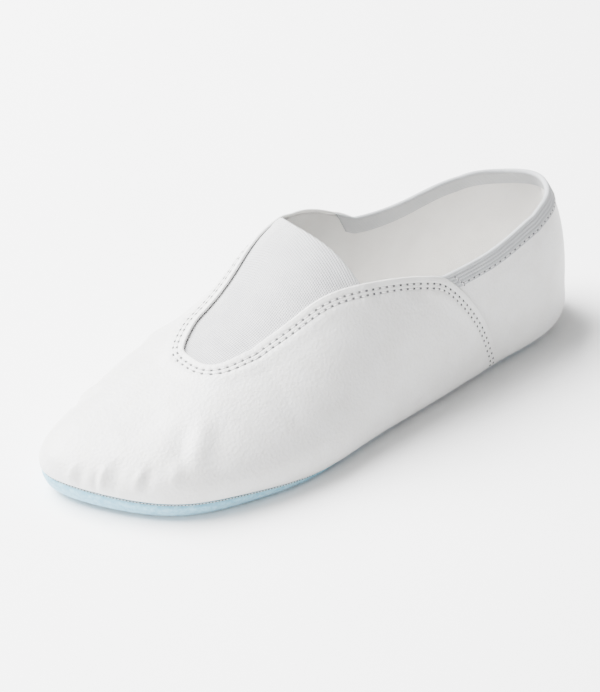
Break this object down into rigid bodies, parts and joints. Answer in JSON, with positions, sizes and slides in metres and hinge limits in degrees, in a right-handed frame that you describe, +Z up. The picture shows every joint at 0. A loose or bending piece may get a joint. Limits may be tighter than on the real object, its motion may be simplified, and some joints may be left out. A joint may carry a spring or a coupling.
{
  "type": "gymnastics shoe",
  "caption": "Soft left gymnastics slipper with a leather upper, an elastic instep gusset, an elastic collar band and a thin suede sole.",
  "frame": {"origin": "on the floor under the middle of the heel", "axes": "+X along the shoe to the toe, +Y to the outer side of the foot, +Z up"},
  "size_m": [0.2401, 0.0863, 0.0754],
  "materials": {
    "blue_suede": "pale blue suede with a short nap",
    "sock_felt": "off-white felted sock lining",
    "white_leather": "soft white leather with a satin sheen",
    "white_elastic": "white woven elastic",
    "white_binding": "white elastic casing, folded over the collar"
  },
  "bodies": {
    "root": {"outsole": "blue_suede", "insole": "sock_felt", "upper": "white_leather", "instep_elastic": "white_elastic", "collar_band": "white_binding"}
  },
  "joints": []
}
